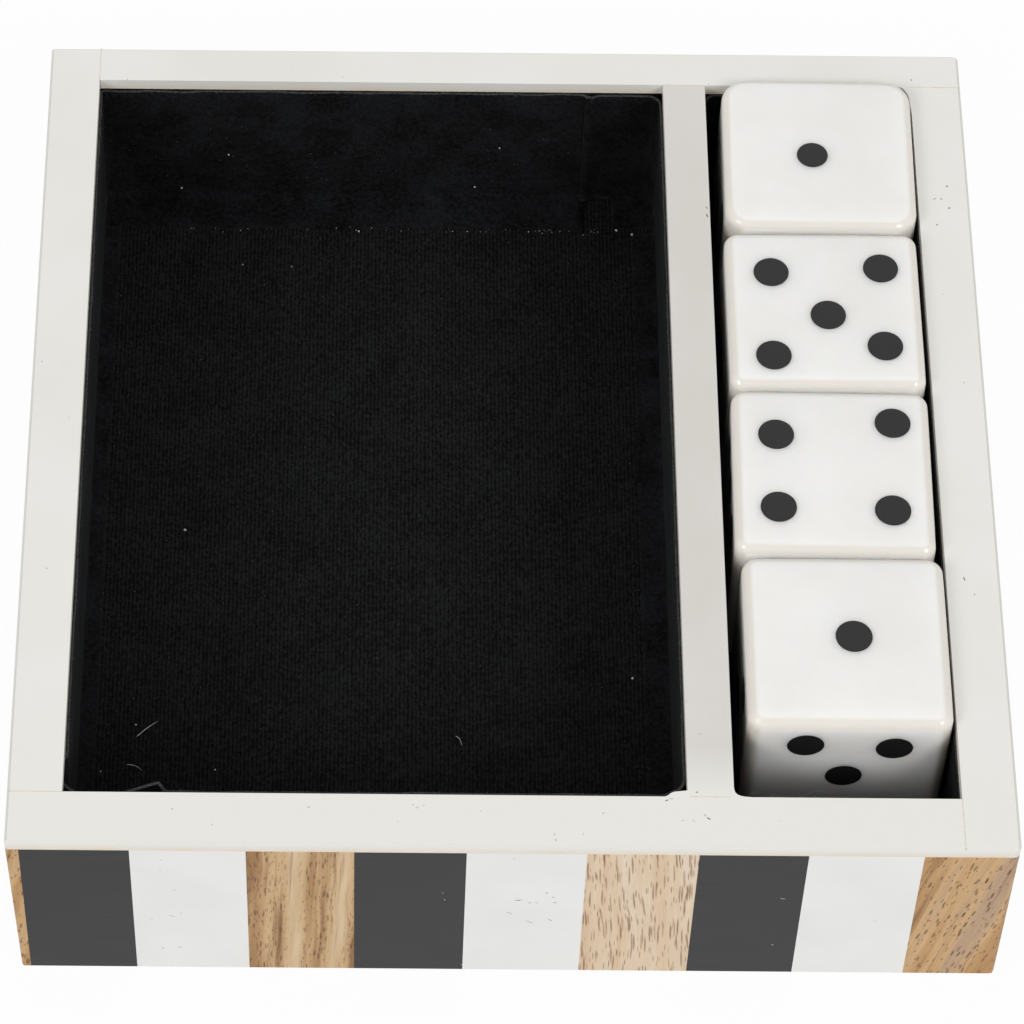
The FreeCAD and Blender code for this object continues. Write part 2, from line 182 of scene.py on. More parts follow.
def white_tile_resin():
    """The same resin sawn into tiles: a little cooler, and in places with short grey drag
    marks about 6 mm apart, from the sanding."""
    made, tree = blank("white_tile_resin")
    side = along_side(tree)
    cloud = add(tree, "TexNoise", {"Vector": side, "Scale": 1 / 14})
    milk = add(tree, "ValToRGB", {"Fac": cloud}, stops=((0.35, "#E5E5E3"), (0.65, "#E9E9E7")))
    drag = flecks(tree, side, (6.3, 2.2), 0.06)
    field = add(tree, "TexNoise", {"Vector": side, "Scale": 1 / 9, "Detail": 1.0})
    zone = add(tree, "MapRange", {"Value": field, "From Min": 0.55, "From Max": 0.68,
                                  "To Max": 0.5})
    mark = add(tree, "Math", {0: drag, 1: zone}, operation="MULTIPLY")
    tint = add(tree, "Mix", {0: mark, 6: milk, 7: colour("#85837F")}, data_type="RGBA")
    shader = add(tree, "BsdfPrincipled", {"Base Color": tint, "Roughness": 0.4, "IOR": 1.54})
    add(tree, "OutputMaterial", {"Surface": shader})
    return made


def dark_resin():
    """Dark grey cast resin, drawn over fine paper: faint lines along the side, half a
    millimetre apart, and rare pale nicks."""
    made, tree = blank("dark_cast_resin")
    side = along_side(tree)
    drawn = add(tree, "Mapping", {"Vector": side, "Scale": (0.03, 1, 1)})
    lines = add(tree, "TexNoise", {"Vector": drawn, "Scale": 1 / 0.55, "Detail": 3.0})
    tone = add(tree, "ValToRGB", {"Fac": lines}, stops=((0.3, "#161617"), (0.7, "#202022")))
    nick = add(tree, "Math", {0: flecks(tree, side, (14.0, 7.5), 0.022), 1: 0.6},
               operation="MULTIPLY")
    tint = add(tree, "Mix", {0: nick, 6: tone, 7: colour("#B9B8B4")}, data_type="RGBA")
    relief = add(tree, "Bump", {"Height": lines, "Distance": 0.004 * MM})
    shader = add(tree, "BsdfPrincipled", {"Base Color": tint, "Roughness": 0.45, "IOR": 1.54,
                                          "Specular IOR Level": 0.33, "Normal": relief})
    add(tree, "OutputMaterial", {"Surface": shader})
    return made


def light_wood(name, grounds, pore, cell, share, bare, vein, shift, turn):
    """Mango wood, sawn along the grain and sealed: brown pores drawn out into dashes, on a
    ground that runs from brown to cream in bands some 5 mm wide. A pore has a cell, across and
    up in millimetres, and fills a share of it; where the bands are paler than bare, there are
    none; vein is how strong the brown streaks are. The shift picks the place in the plank, and
    the turn in radians the slope of its grain."""
    made, tree = blank(name)
    side = along_side(tree, shift, turn)
    wobble = add(tree, "TexNoise", {"Vector": side, "Scale": 1 / 16, "Detail": 1.0})
    sway = add(tree, "Math", {0: wobble, 1: 1.3}, operation="MULTIPLY")
    bend = add(tree, "CombineXYZ", {"X": sway})
    bent = add(tree, "VectorMath", {0: side, 1: bend}, operation="ADD")
    long = add(tree, "Mapping", {"Vector": bent, "Scale": (1, 0.035, 1)})
    band = add(tree, "TexNoise", {"Vector": long, "Scale": 1 / 5.5, "Detail": 4.0,
                                  "Roughness": 0.55})
    ground = add(tree, "ValToRGB", {"Fac": band}, stops=grounds)
    # Fibre lines, about 0.3 mm apart
    fibres = add(tree, "Mapping", {"Vector": bent, "Scale": (1, 0.06, 1)})
    fine = add(tree, "TexNoise", {"Vector": fibres, "Scale": 1 / 0.6, "Detail": 4.0,
                                  "Roughness": 0.7})
    lines = add(tree, "ValToRGB", {"Fac": fine}, stops=((0.32, "#5E4A34"), (0.68, "#BEB19C")))
    lined = add(tree, "Mix", {0: 0.5, 6: ground, 7: lines}, data_type="RGBA",
                blend_type="SOFT_LIGHT")
    # Streaks of stain, a millimetre or less wide and longer than the tile
    drawn = add(tree, "Mapping", {"Vector": bent, "Scale": (1, 0.025, 1)})
    stain = add(tree, "TexNoise", {"Vector": drawn, "Scale": 1 / 1.5, "Detail": 3.0,
                                   "Roughness": 0.6})
    streak = add(tree, "MapRange", {"Value": stain, "From Min": 0.56, "From Max": 0.7,
                                    "To Max": vein})
    stained = add(tree, "Mix", {0: streak, 6: lined, 7: colour("#84603A")}, data_type="RGBA")
    first = flecks(tree, bent, cell, share, 0.7)
    moved = add(tree, "Mapping", {"Vector": bent, "Location": (31.7, 17.3, 0)})
    second = flecks(tree, moved, (cell[0] * 0.75, cell[1] * 0.5), share * 0.85, 0.6)
    pores = add(tree, "Math", {0: first, 1: second}, operation="MAXIMUM")
    where = add(tree, "MapRange", {"Value": band, "From Min": bare - 0.05,
                                   "From Max": bare + 0.05, "To Min": 0.95, "To Max": 0.0})
    rich = add(tree, "MapRange", {"Value": fine, "From Min": 0.3, "From Max": 0.6,
                                  "To Min": 1.0, "To Max": 0.45})
    some = add(tree, "Math", {0: pores, 1: where}, operation="MULTIPLY")
    depth = add(tree, "Math", {0: some, 1: rich}, operation="MULTIPLY")
    tint = add(tree, "Mix", {0: depth, 6: stained, 7: colour(pore)}, data_type="RGBA")
    sunk = add(tree, "Math", {0: depth, 1: -1.0}, operation="MULTIPLY")
    relief = add(tree, "Bump", {"Height": sunk, "Distance": 0.04 * MM})
    shader = add(tree, "BsdfPrincipled", {"Base Color": tint, "Roughness": 0.55, "IOR": 1.5,
                                          "Specular IOR Level": 0.4, "Normal": relief})
    add(tree, "OutputMaterial", {"Surface": shader})
    return made


def velvet(name, ribs, crush, low, high, bloom):
    """Cotton velvet, dyed black and flecked by tufts of 0.7 mm and crushed patches of 8 mm: it
    swallows light from above and shows a grey bloom where it is seen aslant. Where it is woven
    in ribs, they are 0.65 mm apart, along the depth. Ribs and crush say how strong these are
    beside the tufts."""
    made, tree = blank(name)
    body = place_mm(tree)
    tufts = add(tree, "TexNoise", {"Vector": body, "Scale": 1 / 0.7, "Detail": 4.0,
                                   "Roughness": 0.75})
    crushed = add(tree, "TexNoise", {"Vector": body, "Scale": 1 / 8, "Detail": 3.0,
                                     "Roughness": 0.6})
    # At a scale of 1 the wave has 20 / (2 pi) bands to the millimetre
    rows = add(tree, "TexWave", {"Vector": body, "Scale": 2 * math.pi / 0.65 / 20,
                                 "Distortion": 2.2, "Detail": 3.0, "Detail Scale": 2.0},
               wave_type="BANDS", bands_direction="X", wave_profile="SIN")
    pile = add(tree, "Math", {0: crushed, 1: crush, 2: tufts}, operation="MULTIPLY_ADD")
    relief = add(tree, "Math", {0: rows, 1: ribs, 2: pile}, operation="MULTIPLY_ADD")
    evened = add(tree, "Math", {0: relief, 1: 1 + crush + ribs}, operation="DIVIDE")
    tone = add(tree, "ValToRGB", {"Fac": evened}, stops=((0.4, low), (0.64, high)))
    bump = add(tree, "Bump", {"Height": relief, "Distance": 0.12 * MM, "Strength": 0.6})
    shader = add(tree, "BsdfPrincipled", {
        "Base Color": tone, "Roughness": 0.95, "IOR": 1.4, "Specular IOR Level": 0.1,
        "Sheen Weight": bloom, "Sheen Roughness": 0.45, "Sheen Tint": colour("#8F9294"),
        "Normal": bump})
    add(tree, "OutputMaterial", {"Surface": shader})
    return made


def die_resin():
    """Cast resin again, tumbled and polished: white, with light that sinks in a few
    millimetres, a clear gloss, and cream along the rounded edges, partly the polish's stain
    and partly a painted shade that holds down their highlight."""
    made, tree = blank("polished_die_resin")
    body = place_mm(tree)
    cloud = add(tree, "TexNoise", {"Vector": body, "Scale": 1 / 13, "Detail": 3.0,
                                   "Roughness": 0.6})
    milk = add(tree, "ValToRGB", {"Fac": cloud}, stops=((0.35, "#EDEBE8"), (0.65, "#F0EFED")))
    # The largest share of a normal is 1 on a face and less on a rounded edge
    normal = add(tree, "VectorMath", {0: add(tree, "NewGeometry").outputs["Normal"]},
                 operation="ABSOLUTE")
    share = add(tree, "SeparateXYZ", {"Vector": normal}).outputs
    sides = add(tree, "Math", {0: share["X"], 1: share["Y"]}, operation="MAXIMUM")
    flat = add(tree, "Math", {0: sides, 1: share["Z"]}, operation="MAXIMUM")
    # Partly real cream and partly painted shade: the rounded edges are tinted darker, so that they
    # don't light up more than the faces
    rounded = add(tree, "MapRange", {"Value": flat, "From Min": 0.9, "From Max": 1.0,
                                     "To Min": 0.9, "To Max": 0.0})
    tint = add(tree, "Mix", {0: rounded, 6: milk, 7: colour("#DDD8D0")}, data_type="RGBA")
    worn = add(tree, "TexNoise", {"Vector": body, "Scale": 1 / 5})
    relief = add(tree, "Bump", {"Height": worn, "Distance": 0.02 * MM})
    shader = add(tree, "BsdfPrincipled", {
        "Base Color": tint, "Roughness": 0.09, "IOR": 1.5, "Subsurface Weight": 1.0,
        "Subsurface Scale": 4 * MM, "Subsurface Radius": (1.0, 0.9, 0.8), "Normal": relief})
    add(tree, "OutputMaterial", {"Surface": shader})
    return made


def pip_resin():
    """Black resin poured into the drilled pips and sanded flush: charcoal, with a dull gloss."""
    made, tree = blank("black_pip_resin")
    grain = add(tree, "TexNoise", {"Vector": place_mm(tree), "Scale": 1 / 0.5, "Detail": 3.0,
                                   "Roughness": 0.7})
    tone = add(tree, "ValToRGB", {"Fac": grain}, stops=((0.3, "#101010"), (0.7, "#1A1A1B")))
    shader = add(tree, "BsdfPrincipled", {"Base Color": tone, "Roughness": 0.5, "IOR": 1.5,
                                          "Specular IOR Level": 0.4})
    add(tree, "OutputMaterial", {"Surface": shader})
    return made


def dull(name, low, high, grain, rough=0.9):
    """A dull stuff whose tone wavers between two colours, over a grain in millimetres: felt,
    dried glue, lint, dirt, or wood coloured near black as painted shade."""
    made, tree = blank(name)
    waver = add(tree, "TexNoise", {"Vector": place_mm(tree), "Scale": 1 / grain, "Detail": 3.0})
    tone = add(tree, "ValToRGB", {"Fac": waver}, stops=((0.3, low), (0.75, high)))
    shader = add(tree, "BsdfPrincipled", {"Base Color": tone, "Roughness": rough})
    add(tree, "OutputMaterial", {"Surface": shader})
    return made


# Pieces

# Heights closer than this are level, in metres
LEVEL = 1e-6
# How much of a die's half width the tumbling takes at its edges, and how steeply
WEAR, WEAR_STEEPNESS = 0.006, 7
# The crown of a pip, from its rim inwards: each step's way in and up, in millimetres
PIP_CROWN = ((0.06, 0.014), (0.5, 0.03), (0.9, 0.014))
# How far a pip's filling goes down into its pocket, in millimetres, and the little that it
# stands proud at its rim
PIP_DEPTH, PIP_PROUD = 0.25, 0.005


def piece(name, bm, material, body="tray", smooth=True):
    """Turn a bmesh into an object that rides on a body."""
    mesh = bpy.data.meshes.new(name)
    bm.to_mesh(mesh)
    bm.free()
    made = bpy.data.objects.new(name, mesh)
    bpy.context.collection.objects.link(made)
    mesh.materials.append(material)
    for face in mesh.polygons:
        face.use_smooth = smooth
    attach(made, body)
    return made


def dress(node, material):
    """Give a solid its material."""
    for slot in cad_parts[node].material_slots:
        slot.material = material


def die(name, turn, upright, edge, material):
    """A cube cut from a cast block: its uprights rounded first, then its top and bottom."""
    low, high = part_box(name)
    size = high.z - low.z
    bm = bmesh.new()
    bmesh.ops.create_cube(bm, size=size)
    uprights = [item for item in bm.edges if rise(item) > size / 2]
    bmesh.ops.bevel(bm, geom=uprights, offset=upright * MM, offset_type="OFFSET", affect="EDGES",
                    segments=10, profile=0.5, material=-1)
    rims = [item for item in bm.edges if rise(item) < LEVEL
            and abs(abs(item.verts[0].co.z) - size / 2) < LEVEL]
    bmesh.ops.bevel(bm, geom=rims, offset=edge * MM, offset_type="OFFSET", affect="EDGES",
                    segments=7, profile=0.5, material=-1)
    tumble(bm, size / 2)
    bmesh.ops.rotate(bm, verts=bm.verts, matrix=Matrix.Rotation(math.radians(turn), 3, "Z"))
    bmesh.ops.translate(bm, verts=bm.verts, vec=(low + high) / 2)
    made = piece(f"{name}_block", bm, material, name)
    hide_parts(name)


def rise(edge):
    """How far one end of an edge stands above the other."""
    return abs(edge.verts[0].co.z - edge.verts[1].co.z)


def tumble(bm, half):
    """Wear a block's faces down a little towards their edges, as tumbling does: by a share of
    the half width that grows steeply near an edge."""
    long = [edge for edge in bm.edges if edge.calc_length() > half]
    bmesh.ops.subdivide_edges(bm, edges=long, cuts=15, use_grid_fill=True)
    for vert in bm.verts:
        shares = [abs(value) / half for value in vert.co]
        for axis in range(3):
            others = [share ** WEAR_STEEPNESS for place, share in enumerate(shares)
                      if place != axis]
            vert.co[axis] *= 1 - WEAR * sum(others)


def pip_places(name, turn):
    """The middle, the outward direction and the radius of each pip of a die, read from the
    plugs of its solid."""
    low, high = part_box(name)
    middle = (low + high) / 2
    half = (high.z - low.z) / 2
    bm = bmesh.new()
    bm.from_mesh(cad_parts[f"{name}_pips"].data)
    bmesh.ops.remove_doubles(bm, verts=bm.verts, dist=0.001 * MM)
    axes = [Matrix.Rotation(math.radians(turn), 3, "Z") @ Vector(axis)
            for axis in ((1, 0, 0), (-1, 0, 0), (0, 1, 0), (0, -1, 0), (0, 0, 1), (0, 0, -1))]
    left = set(bm.verts)
    while left:
        plug, reached = set(), [left.pop()]
        while reached:
            vert = reached.pop()
            plug.add(vert)
            for linked in vert.link_edges:
                other = linked.other_vert(vert)
                if other in left:
                    left.remove(other)
                    reached.append(other)
        centre = sum((vert.co for vert in plug), Vector()) / len(plug)
        out = max(axes, key=lambda axis: (centre - middle).dot(axis))
        seat = centre + out * (half - (centre - middle).dot(out))
        radius = max(((vert.co - seat).cross(out)).length for vert in plug)
        yield seat, out, radius
    bm.free()


def pips(name, turn, material):
    """The black fillings of a die, each a low dome that just clears its face."""
    bm = bmesh.new()
    for seat, out, radius in pip_places(name, turn):
        disc = bmesh.new()
        bmesh.ops.create_circle(disc, cap_ends=True, segments=48, radius=radius)
        sides = bmesh.ops.extrude_face_region(disc, geom=list(disc.faces))["geom"]
        top = [item for item in sides if isinstance(item, bmesh.types.BMVert)]
        bmesh.ops.translate(disc, verts=top, vec=UP * PIP_DEPTH * MM)
        crown = [item for item in sides if isinstance(item, bmesh.types.BMFace)]
        for inwards, up in PIP_CROWN:
            bmesh.ops.inset_region(disc, faces=crown, thickness=inwards * MM, use_even_offset=True)
            verts = {vert for face in crown for vert in face.verts}
            bmesh.ops.translate(disc, verts=list(verts), vec=UP * up * MM)
        bmesh.ops.recalc_face_normals(disc, faces=disc.faces)
        turned = out.to_track_quat("Z", "Y").to_matrix().to_4x4()
        sunk = seat - out * (PIP_DEPTH - PIP_PROUD) * MM
        bmesh.ops.transform(disc, verts=disc.verts, matrix=Matrix.Translation(sunk) @ turned)
        merge(bm, disc)
    made = piece(f"{name}_pip_fillings", bm, material, name)
    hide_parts(f"{name}_pips")


def merge(bm, extra):
    """Add one bmesh to another."""
    mesh = bpy.data.meshes.new("part")
    extra.to_mesh(mesh)
    extra.free()
    bm.from_mesh(mesh)
    bpy.data.meshes.remove(mesh)


# Velvet

# The spacing of a strip's folds along it, in millimetres, and their number up it
FOLD_SPACING, FOLD_ROWS = 1.2, 14
# The thickness of the velvet of a strip, in millimetres
STRIP_THICKNESS = 0.5
# A hem on the floor, from the wall outwards: each row's share of its depth, and its rise in
# millimetres
HEM_ROWS = ((0.2, 0.12), (0.1, -0.25), (0.5, -0.12), (0.2, -0.3))
# The ways that the well's walls face
BACK_WALL, LEFT_WALL, RIGHT_WALL = (0, -1, 0), (1, 0, 0), (-1, 0, 0)


def trace(bm, start, heading, moves):
    """Draw a line on plan with a vertex, and give its length: each move is a run in
    millimetres, or a radius and a turn in degrees, to the left if positive."""
    at, way, length = Vector(start), Vector(heading).normalized(), 0.0
    tip = [bm.verts.new(at)]
    for move in moves:
        if isinstance(move, tuple):
            radius, turn = move[0] * MM, math.radians(move[1])
            centre = at + Quaternion(UP, math.copysign(math.pi / 2, turn)) @ way * radius
            steps = max(5, round(radius * abs(turn) / (FOLD_SPACING / 2 * MM)))
            spun = bmesh.ops.spin(bm, geom=tip, cent=centre, axis=UP, angle=turn, steps=steps)
            tip = [item for item in spun["geom_last"] if isinstance(item, bmesh.types.BMVert)]
            at = tip[0].co.copy()
            way = Quaternion(UP, turn) @ way
            length += radius * abs(turn)
        else:
            parts = max(1, round(move / FOLD_SPACING))
            for _ in range(parts):
                at = at + way * move * MM / parts
                tip = bmesh.ops.extrude_vert_indiv(bm, verts=tip)["verts"]
                tip[0].co = at
            length += move * MM
    return length


def carry_on(bm, edges, step):
    """Carry an edge of a sheet on by a step, and give its new edge."""
    grown = bmesh.ops.extrude_edge_only(bm, edges=edges)["geom"]
    verts = {item for item in grown if isinstance(item, bmesh.types.BMVert)}
    bmesh.ops.translate(bm, verts=list(verts), vec=step)
    return [item for item in grown if isinstance(item, bmesh.types.BMEdge)
            and verts.issuperset(item.verts)]


def wander(place, grain, amount):
    """A soft wander over a grain, at most an amount, both in millimetres; it comes in
    metres."""
    return noise.noise(place / (grain * MM)) * amount * MM


def facing(bm, target):
    """Turn the faces of an open sheet towards a point."""
    bm.faces.ensure_lookup_table()
    bm.normal_update()
    middle = bm.faces[len(bm.faces) // 2]
    if middle.normal.dot(Vector(target) - middle.calc_center_median()) < 0:
        bmesh.ops.reverse_faces(bm, faces=bm.faces[:])
        bm.normal_update()


def backed(made, thickness, edge):
    """Give a sheet its thickness, on the side away from the room, and its cut edge."""
    made.data.materials.append(edge)
    skin = made.modifiers.new("Backing", "SOLIDIFY")
    skin.thickness = thickness * MM
    skin.offset = -1.0
    skin.material_offset_rim = 1


def smooth_step(value, low, high):
    """0 below low, 1 above high, and a smooth rise between."""
    share = min(1.0, max(0.0, (value - low) / (high - low)))
    return share * share * (3 - 2 * share)


def lining(name, start, heading, moves, foot, target, lean, node, pile, edge, hems=()):
    """A strip of velvet glued round the walls: it stands on the floor, its top hangs a little
    off the wall and is cut unevenly, and hems turn runs of its foot out over the floor. A hem
    has the way that its wall faces, its start and end along the wall, how much of a corner it
    takes in and its depth, in millimetres."""
    bm = bmesh.new()
    length = trace(bm, Vector((start[0] * MM, start[1] * MM, foot)), heading, moves)
    height = LINING_TOP - foot
    cut = length * height
    edges = list(bm.edges)
    for _ in range(FOLD_ROWS):
        edges = carry_on(bm, edges, UP * height / FOLD_ROWS)
    facing(bm, target)
    pushed = [(vert, vert.normal.copy()) for vert in bm.verts]
    for vert, inwards in pushed:
        share = (vert.co.z - foot) / height
        vert.co += inwards * (lean(vert.co / MM, share) * MM + wander(vert.co, 9, 0.12 * share)
                              + wander(vert.co, 2.5, 0.05))
        vert.co.z += wander(vert.co, 6, 0.3) * share ** 6
    runs = [(Vector(way), foot_run(bm, foot, Vector(way), low, high, bend), depth)
            for way, low, high, bend, depth in hems]
    for way, edges, depth in runs:
        cut += sum(item.calc_length() for item in edges) * depth * MM
        for out, up in HEM_ROWS:
            edges = carry_on(bm, edges, (way * out * depth + UP * up) * MM)
    made = piece(name, bm, pile)
    backed(made, STRIP_THICKNESS, edge)
    if node:
        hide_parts(node)
    return made


def foot_run(bm, foot, way, low, high, bend):
    """The lower edges of a strip on the wall that faces a way, between two places along it."""
    along = 1 if abs(way.x) > 0.5 else 0
    standing = [vert for vert in bm.verts if vert.co.z < foot + 0.05 * MM]
    wall = min(vert.co.dot(way) for vert in standing)
    return [item for item in bm.edges if item.is_boundary
            and all(vert in standing and vert.co.dot(way) < wall + bend * MM
                    and low * MM <= vert.co[along] <= high * MM for vert in item.verts)]


def laid(name, node, thickness, relief, pile, edge, cuts=70):
    """A sheet that lies flat in place of a node, its surface a little uneven; its thickness
    and relief are in millimetres, and cuts is how finely it is divided."""
    low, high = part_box(node)
    bm = bmesh.new()
    bmesh.ops.create_grid(bm, x_segments=cuts, y_segments=cuts, size=0.5)
    bmesh.ops.scale(bm, verts=bm.verts, vec=(high.x - low.x, high.y - low.y, 1))
    bmesh.ops.translate(bm, verts=bm.verts,
                        vec=((low.x + high.x) / 2, (low.y + high.y) / 2, high.z))
    for vert in bm.verts:
        vert.co.z -= abs(wander(vert.co, 13, relief)) + abs(wander(vert.co, 3, relief / 4))
    facing(bm, (0, 0, 1))
    made = piece(name, bm, pile)
    backed(made, thickness, edge)
    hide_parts(node)


# Small things: fibres, marks, glue and filler

# The thickness of a speck or scuff, and the spacing of a fringe's fibres, in millimetres
FLAKE_THICKNESS, FRINGE_SPACING = 0.012, 0.45


def fibre(bm, start, end, thick, bow=(0, 0, 0), cuts=0, sides=3):
    """A fine fibre from start to end that thins out, in millimetres, bowed in its middle where
    cuts divide it."""
    start, end, bow = (Vector(point) * MM for point in (start, end, bow))
    way = end - start
    turned = way.to_track_quat("Z", "Y").to_matrix().to_4x4()
    made = bmesh.ops.create_cone(bm, segments=sides, radius1=thick * MM / 2,
                                 radius2=thick * MM / 6, depth=way.length,
                                 matrix=Matrix.Translation((start + end) / 2) @ turned)
    if cuts:
        long = {edge for vert in made["verts"] for edge in vert.link_edges
                if edge.calc_length() > way.length / 2}
        split = bmesh.ops.subdivide_edges(bm, edges=list(long), cuts=cuts)
        for item in split["geom_inner"]:
            if isinstance(item, bmesh.types.BMVert):
                share = (item.co - start).dot(way) / way.length_squared
                item.co += bow * math.sin(math.pi * share)


def fringe(name, chance, strip, material):
    """Loose pile along the cut top edge of a strip."""
    bm = bmesh.new()
    mesh = strip.data
    for edge in mesh.edges:
        first, second = (mesh.vertices[place].co for place in edge.vertices)
        along = second - first
        if min(first.z, second.z) < LINING_TOP - 0.5 * MM or abs(along.z) > 0.4 * along.length:
            continue
        count = along.length / MM / FRINGE_SPACING
        for _ in range(int(count) + (chance.random() < count % 1)):
            at = first.lerp(second, chance.random()) / MM
            way = along.normalized()
            tip = Vector((chance.uniform(-1, 1), chance.uniform(-1, 1), chance.uniform(-0.2, 1)))
            tip = (tip.normalized() + way * chance.uniform(-1.5, 1.5)).normalized()
            fibre(bm, at, at + tip * chance.uniform(0.15, 0.5), chance.uniform(0.03, 0.07))
    piece(name, bm, material)


def mark(bm, chance, x, y, z, wide, long):
    """A speck: an uneven flake pressed on a level surface, in millimetres."""
    flake = bmesh.new()
    bmesh.ops.create_circle(flake, cap_ends=True, segments=9, radius=0.5)
    for vert in flake.verts:
        vert.co *= chance.uniform(0.7, 1.15)
    bmesh.ops.scale(flake, verts=flake.verts, vec=(wide * MM, long * MM, 1))
    bmesh.ops.rotate(flake, verts=flake.verts,
                     matrix=Matrix.Rotation(chance.uniform(-0.6, 0.6), 3, "Z"))
    lifted = bmesh.ops.extrude_face_region(flake, geom=list(flake.faces))["geom"]
    verts = [item for item in lifted if isinstance(item, bmesh.types.BMVert)]
    bmesh.ops.translate(flake, verts=verts, vec=UP * FLAKE_THICKNESS * MM)
    bmesh.ops.scale(flake, verts=verts, vec=(0.8, 0.8, 1))
    bmesh.ops.recalc_face_normals(flake, faces=flake.faces)
    bmesh.ops.translate(flake, verts=flake.verts, vec=Vector((x, y, z)) * MM)
    merge(bm, flake)


def scuff(bm, chance, x, z, wide, tall):
    """A mark like that, but on the front of the tray."""
    before = set(bm.verts)
    mark(bm, chance, 0, 0, 0, wide, tall)
    verts = [vert for vert in bm.verts if vert not in before]
    bmesh.ops.rotate(bm, verts=verts, matrix=Matrix.Rotation(math.radians(90), 3, "X"))
    bmesh.ops.translate(bm, verts=verts, vec=(x * MM, TILE_FRONT, z * MM))


def slab(bm, low, high):
    """A thin bar of glue between two corners, in millimetres."""
    low, high = Vector(low) * MM, Vector(high) * MM
    made = bmesh.ops.create_cube(bm, size=1)["verts"]
    bmesh.ops.scale(bm, verts=made, vec=high - low)
    bmesh.ops.translate(bm, verts=made, vec=(low + high) / 2)


def filler(name, outline, rounded, offset, material):
    """Resin filler smeared into a corner of the rim: an outline on plan, the places in it of
    the corners that are rounded, and their offset, in millimetres."""
    bm = bmesh.new()
    verts = [bm.verts.new((x * MM, y * MM, RIM_FOOT + 0.02 * MM)) for x, y in outline]
    ring = [bm.edges.new(pair) for pair in zip(verts, verts[1:] + verts[:1])]
    bmesh.ops.edgeloop_fill(bm, edges=ring)
    bmesh.ops.bevel(bm, geom=[verts[place] for place in rounded], offset=offset * MM,
                    offset_type="OFFSET", affect="VERTICES", segments=6, profile=0.5, material=-1)
    raised = bmesh.ops.extrude_face_region(bm, geom=list(bm.faces))["geom"]
    top = [item for item in raised if isinstance(item, bmesh.types.BMVert)]
    bmesh.ops.translate(bm, verts=top, vec=UP * (RIM_TOP - RIM_FOOT - 0.01 * MM))
    bmesh.ops.recalc_face_normals(bm, faces=bm.faces)
    piece(name, bm, material, smooth=False)


# In millimetres: the first strip's loose end along the front wall, and the lap in the back wall
LOOSE_END, LAP = -52.4, (13.5, 15.6)


def well_lean(place, share):
    """How far the well's lining stands off its wall, in millimetres, at a place and a share of
    its height: a little all round, more along the front, most where the first strip's end has
    come loose there, and over the lap in the back wall."""
    high = smooth_step(share, 0.45, 1.0)
    off = 0.45 * high
    if place.y < -62:
        off += 1.4 * smooth_step(-place.y, 64, 68) * smooth_step(share, 0.7, 1.0)
        if place.x < LOOSE_END:
            loose = smooth_step(place.x, -62.5, LOOSE_END) * smooth_step(share, 0.55, 1.0)
            off += 2.6 * loose - 1.0 * high
    if place.y > 69 and LAP[0] < place.x < LAP[1]:
        off += 0.5
    return off


def slot_lean(place, share):
    """The slot's lining stands a little off too."""
    return 0.25 * smooth_step(share, 0.6, 1.0)


def dress_linings():
    """Velvet strips, floors, the felt, and the lint on them."""
    ribbed = velvet("black_ribbed_velvet", ribs=0.18, crush=0.22, low="#050505", high="#202121",
                    bloom=0.1)
    plush = velvet("black_wall_velvet", ribs=0.0, crush=0.6, low="#040405", high="#1D1E20",
                   bloom=0.06)
    edge = dull("velvet_cut_edge", "#0B0B0C", "#434342", grain=0.5)
    loose = dull("grey_pile_fluff", "#2E3035", "#6C6E72", grain=1.0)
    chance = random.Random(11)
    # Two strips line the well: one from the seam in the back wall anticlockwise to the seam behind
    # the front rail, and one from there on, whose end laps the first and shows as a ridge
    middle = ((WELL_WEST + WELL_EAST) / 2, 0, 0.02)
    west = lining("well_lining_west", start=(14.2, 70.5), heading=(-1, 0, 0),
                  moves=(81.3, (0.8, 90), 134.3, (4.0, 90), 11.6), foot=WELL_FLOOR + 0.45 * MM,
                  target=middle, lean=well_lean, node="well_wall_velvet", pile=plush, edge=edge,
                  hems=((BACK_WALL, -69, 18.3, 0.75, 6.9), (LEFT_WALL, -62, 64, 0.5, 2.6)))
    east = lining("well_lining_east", start=(-52.3, -68.6), heading=(1, 0, 0),
                  moves=(74.7, (4.0, 90), 132.6, (2.5, 90), 10.3), foot=WELL_FLOOR + 0.4 * MM,
                  target=middle, lean=well_lean, node=None, pile=plush, edge=edge,
                  hems=((BACK_WALL, 18.7, 27.5, 2.4, 6.2), (RIGHT_WALL, -62, 64, 0.5, 4.2)))
    slot = lining("slot_lining", start=(36.2, -68.6), heading=(1, 0, 0),
                  moves=(29.4, (2.2, 90), 133.9, (3.0, 90), 29.2, (2.2, 90), 134.7, (2.2, 90),
                         0.5),
                  foot=SLOT_FLOOR + 0.05 * MM, target=((SLOT_WEST + SLOT_EAST) / 2, 0, 0.02),
                  lean=slot_lean, node="slot_wall_velvet", pile=plush, edge=edge)
    laid("well_floor_cloth", "well_floor_velvet", thickness=0.7, relief=0.22, pile=ribbed,
         edge=edge, cuts=110)
    laid("slot_floor_cloth", "slot_floor_velvet", thickness=2.9, relief=0.1, pile=ribbed,
         edge=edge)
    felt = dull("black_felt", "#141414", "#262628", grain=0.4)
    laid("felt_foot", "base_felt", thickness=0.38, relief=0.0, pile=felt, edge=felt,
         cuts=20)
    for name, strip in (("west", west), ("east", east), ("slot", slot)):
        fringe(f"{name}_lining_fringe", chance, strip, loose)
    scatter_lint(chance)


